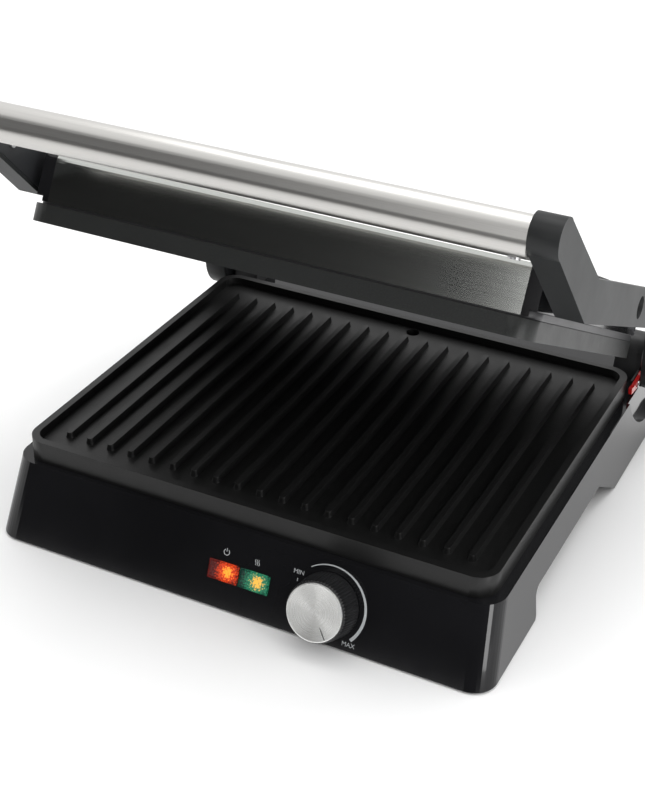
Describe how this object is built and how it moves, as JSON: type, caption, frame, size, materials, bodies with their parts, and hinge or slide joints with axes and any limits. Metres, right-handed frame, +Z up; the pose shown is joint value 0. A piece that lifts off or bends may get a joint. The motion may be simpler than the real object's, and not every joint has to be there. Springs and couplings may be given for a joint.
{
  "type": "panini press",
  "caption": "Contact grill with ribbed hinged plates, a floating lid on swing arms with a bar handle, heat knob, pilot lights and a pull-out drip tray.",
  "frame": {"origin": "on the table under the middle of the bounding box", "axes": "+X to the user's right, +Y to the hinge at the back, +Z up"},
  "size_m": [0.3406, 0.349, 0.2751],
  "materials": {
    "base_gloss": "high gloss black moulding",
    "base_matte": "fine matt black moulding",
    "feet_rubber": "matt",
    "screw_steel": "zinc plated",
    "lower_coating": "black satin non-stick coating on a casting",
    "upper_coating": "dark grey satin non-stick coating on a casting",
    "element_metal": "heat tinted sheath",
    "reflector_sheet": "bright sheet",
    "pale_ceramic": "pale heat resistant moulding",
    "knob_black": "satin black grip",
    "knob_metal": "spun face",
    "red_lens": "clear red",
    "green_lens": "clear green",
    "lamp_glass": "clear",
    "board_green": "circuit board",
    "lead_red": "silicone sleeve",
    "tray_black": "satin",
    "lever_red": "gloss",
    "cam_steel": "pressed steel",
    "arm_grey": "satin dark grey moulding",
    "arm_inner": "satin dark grey moulding",
    "handle_steel": "brushed along its length",
    "frame_grey": "satin",
    "lid_steel": "brushed across the front",
    "cap_gloss": "gloss black moulding",
    "spacer_white": "natural nylon"
  },
  "bodies": {
    "base": {"base_shell": "base_gloss", "base_cover": "base_matte", "rubber_feet": "feet_rubber", "cover_screws": "screw_steel", "cord_gland": "base_matte", "lower_plate": "lower_coating", "lower_element": "element_metal", "lower_reflector": "reflector_sheet", "plate_screws": "screw_steel", "thermal_fuse": "pale_ceramic", "thermostat": "pale_ceramic", "thermostat_nut": "screw_steel", "power_lens": "red_lens", "ready_lens": "green_lens", "power_lamp": "lamp_glass", "ready_lamp": "lamp_glass", "lamp_board": "board_green", "terminal_block": "pale_ceramic", "base_wiring": "lead_red", "left_hinge_tower": "base_matte", "right_hinge_tower": "base_matte", "tower_screws": "screw_steel", "lever_pin": "screw_steel", "lever_spring": "screw_steel"},
    "knob": {"thermostat_shaft": "screw_steel", "knob_body": "knob_black", "knob_face": "knob_metal"},
    "tray": {"drip_tray": "tray_black"},
    "lever": {"release_lever": "lever_red"},
    "stop_cams": {"left_stop_cam": "cam_steel", "right_stop_cam": "cam_steel", "left_hinge_pin": "cam_steel", "right_hinge_pin": "cam_steel"},
    "arms": {"left_arm": "arm_grey", "right_arm": "arm_grey", "left_arm_cover": "arm_inner", "right_arm_cover": "arm_inner", "arm_cover_screws": "screw_steel", "handle_tube": "handle_steel", "handle_core": "base_matte", "handle_screws": "screw_steel", "arm_lead": "lead_red"},
    "lid": {"upper_plate": "upper_coating", "upper_element": "element_metal", "upper_reflector": "reflector_sheet", "upper_plate_screws": "screw_steel", "upper_fuse": "pale_ceramic", "lid_frame": "frame_grey", "lid_cover": "lid_steel", "left_lid_cap": "cap_gloss", "right_lid_cap": "cap_gloss", "pivot_brackets": "cam_steel", "pivot_pins": "cam_steel", "pivot_spacers": "spacer_white"}
  },
  "joints": [
    {"name": "heat_knob", "type": "hinge", "parent": "base", "child": "knob", "pos_m": [0.0606, -0.1517, 0.022], "axis": [0, -0.9285, 0.3714], "range_deg": [0, 205]},
    {"name": "tray_slide", "type": "slide", "parent": "base", "child": "tray", "axis": [0, 1, 0], "range_m": [0, 0.08]},
    {"name": "release_press", "type": "hinge", "parent": "base", "child": "lever", "pos_m": [0.153, 0.112, 0.0512], "axis": [-1, 0, 0], "range_deg": [0, 8], "stiffness_Nm_per_rad": 0.1, "springref_deg": -5.73},
    {"name": "flat_open", "type": "hinge", "parent": "base", "child": "stop_cams", "pos_m": [0, 0.137, 0.064], "axis": [-1, 0, 0], "range_deg": [0, 78]},
    {"name": "lid_hinge", "type": "hinge", "parent": "stop_cams", "child": "arms", "pos_m": [0, 0.137, 0.064], "axis": [-1, 0, 0], "range_deg": [-26.73, 75.01]},
    {"name": "plate_float", "type": "hinge", "parent": "arms", "child": "lid", "pos_m": [0, 0.02024, 0.15468], "axis": [-1, 0, 0], "range_deg": [-2.34, 6.57]}
  ],
  "couplings": [
    {"joint": "lid_hinge", "follows": "plate_float", "ratio": 11.42}
  ]
}
